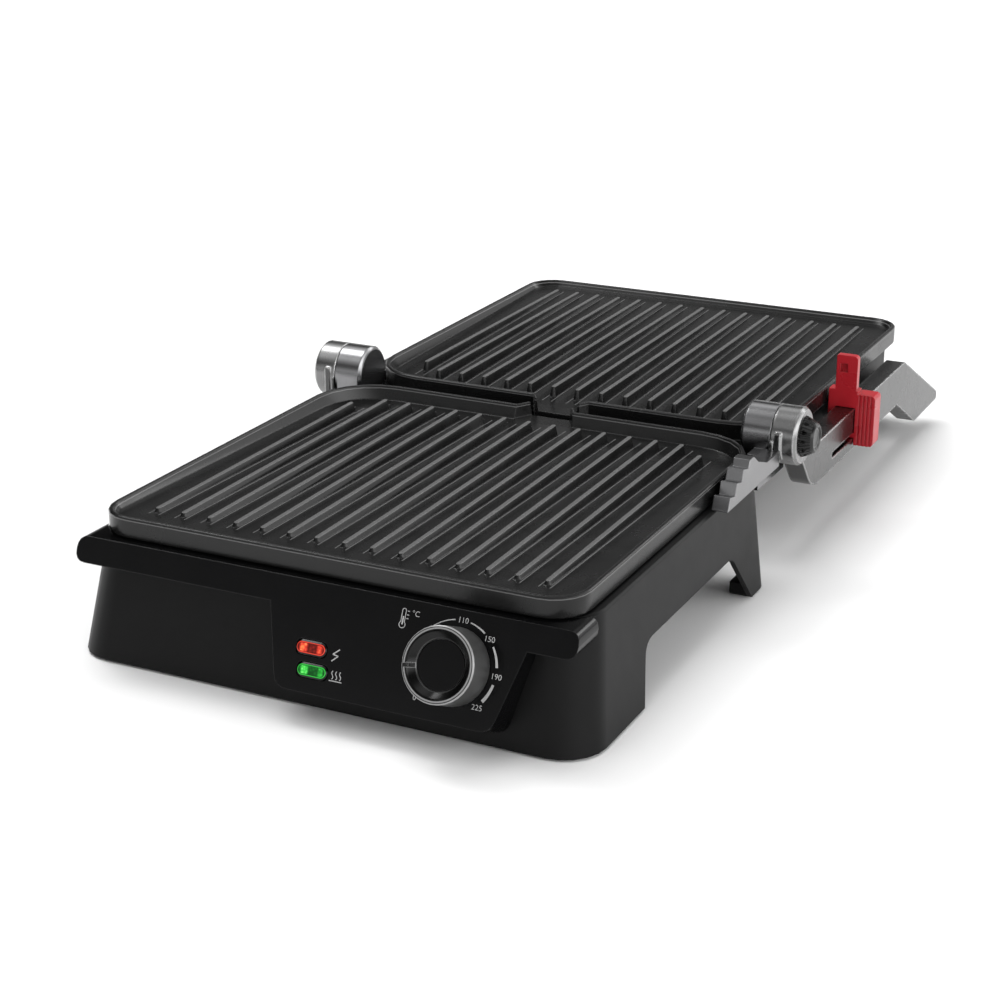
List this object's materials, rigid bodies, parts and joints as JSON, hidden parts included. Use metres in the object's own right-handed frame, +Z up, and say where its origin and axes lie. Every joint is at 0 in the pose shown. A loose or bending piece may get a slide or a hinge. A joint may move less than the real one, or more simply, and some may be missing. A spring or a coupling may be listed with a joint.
{
  "type": "electric grill",
  "caption": "Countertop contact grill that opens flat, with two ribbed plates, side lid arms with barrel hinges, a stepped height rest, a sliding stop and a thermostat knob.",
  "frame": {"origin": "centre of the whole part's footprint box, on the worktop it stands on, with the lid opened flat", "axes": "+Y from the control front back along the opened lid, +X to the right seen from the front, +Z up"},
  "size_m": [0.3468, 0.6606, 0.106],
  "materials": {
    "housing_black": "satin moulded",
    "fascia_gloss": "high gloss",
    "terminal_plastic": "matt",
    "rubber_black": "matt",
    "barrel_metal": "satin nickel",
    "arm_metal": "satin cast",
    "steel": "machined",
    "nonstick": "dark non-stick coating",
    "reflector": "pressed sheet",
    "heater_steel": "oxidised",
    "lens_red": "translucent, lit",
    "lens_green": "translucent, lit",
    "knob_metal": "satin grey with bright rim",
    "red_plastic": "semi-gloss moulded",
    "button_black": "semi-gloss"
  },
  "bodies": {
    "base": {"base_housing": "housing_black", "base_bottom_cover": "housing_black", "front_fascia": "fascia_gloss", "terminal_block": "terminal_plastic", "cord_gland": "rubber_black", "cover_screw_1": "steel", "cover_screw_2": "steel", "cover_screw_3": "steel", "cover_screw_4": "steel", "rubber_foot_front_left": "rubber_black", "rubber_foot_front_right": "rubber_black", "rubber_foot_rear_left": "rubber_black", "rubber_foot_rear_right": "rubber_black", "hinge_bracket_left": "barrel_metal", "hinge_bracket_right": "barrel_metal", "hinge_pin_left": "steel", "hinge_pin_right": "steel", "lower_grill_plate": "nonstick", "lower_reflector_pan": "reflector", "lower_heating_element": "heater_steel", "red_indicator_lens": "lens_red", "green_indicator_lens": "lens_green", "thermostat": "steel"},
    "knob": {"thermostat_shaft": "steel", "thermostat_knob": "knob_metal", "knob_disc": "fascia_gloss"},
    "tray": {"drip_tray": "housing_black"},
    "lid": {"upper_grill_plate": "nonstick", "upper_reflector_pan": "reflector", "upper_heating_element": "heater_steel", "lid_housing": "housing_black", "lid_arm_left": "arm_metal", "lid_arm_right": "arm_metal", "lid_pivot_pin_left": "steel", "lid_pivot_pin_right": "steel", "handle_grip": "housing_black", "handle_screw_left": "steel", "handle_screw_right": "steel", "handle_rest_pad_left": "rubber_black", "handle_rest_pad_right": "rubber_black", "hub_cap_left": "arm_metal"},
    "slider": {"height_slider": "red_plastic"},
    "button": {"release_button": "button_black"}
  },
  "joints": [
    {"name": "lid_hinge", "type": "hinge", "parent": "base", "child": "lid", "pos_m": [0, 0.0031, 0.0856], "axis": [1, 0, 0], "range_deg": [0, 180]},
    {"name": "knob_turn", "type": "hinge", "parent": "base", "child": "knob", "pos_m": [0.08175, -0.30451, 0.04472], "axis": [0, 0.9063, -0.4226], "range_deg": [-35, 235]},
    {"name": "tray_slide", "type": "slide", "parent": "base", "child": "tray", "axis": [0, 1, 0], "range_m": [0, 0.09]},
    {"name": "slider_shift", "type": "slide", "parent": "lid", "child": "slider", "axis": [0, 1, 0], "range_m": [0, 0.022]},
    {"name": "release_push", "type": "slide", "parent": "lid", "child": "button", "axis": [-1, 0, 0], "range_m": [0, 0.004], "stiffness_N_per_m": 400}
  ]
}
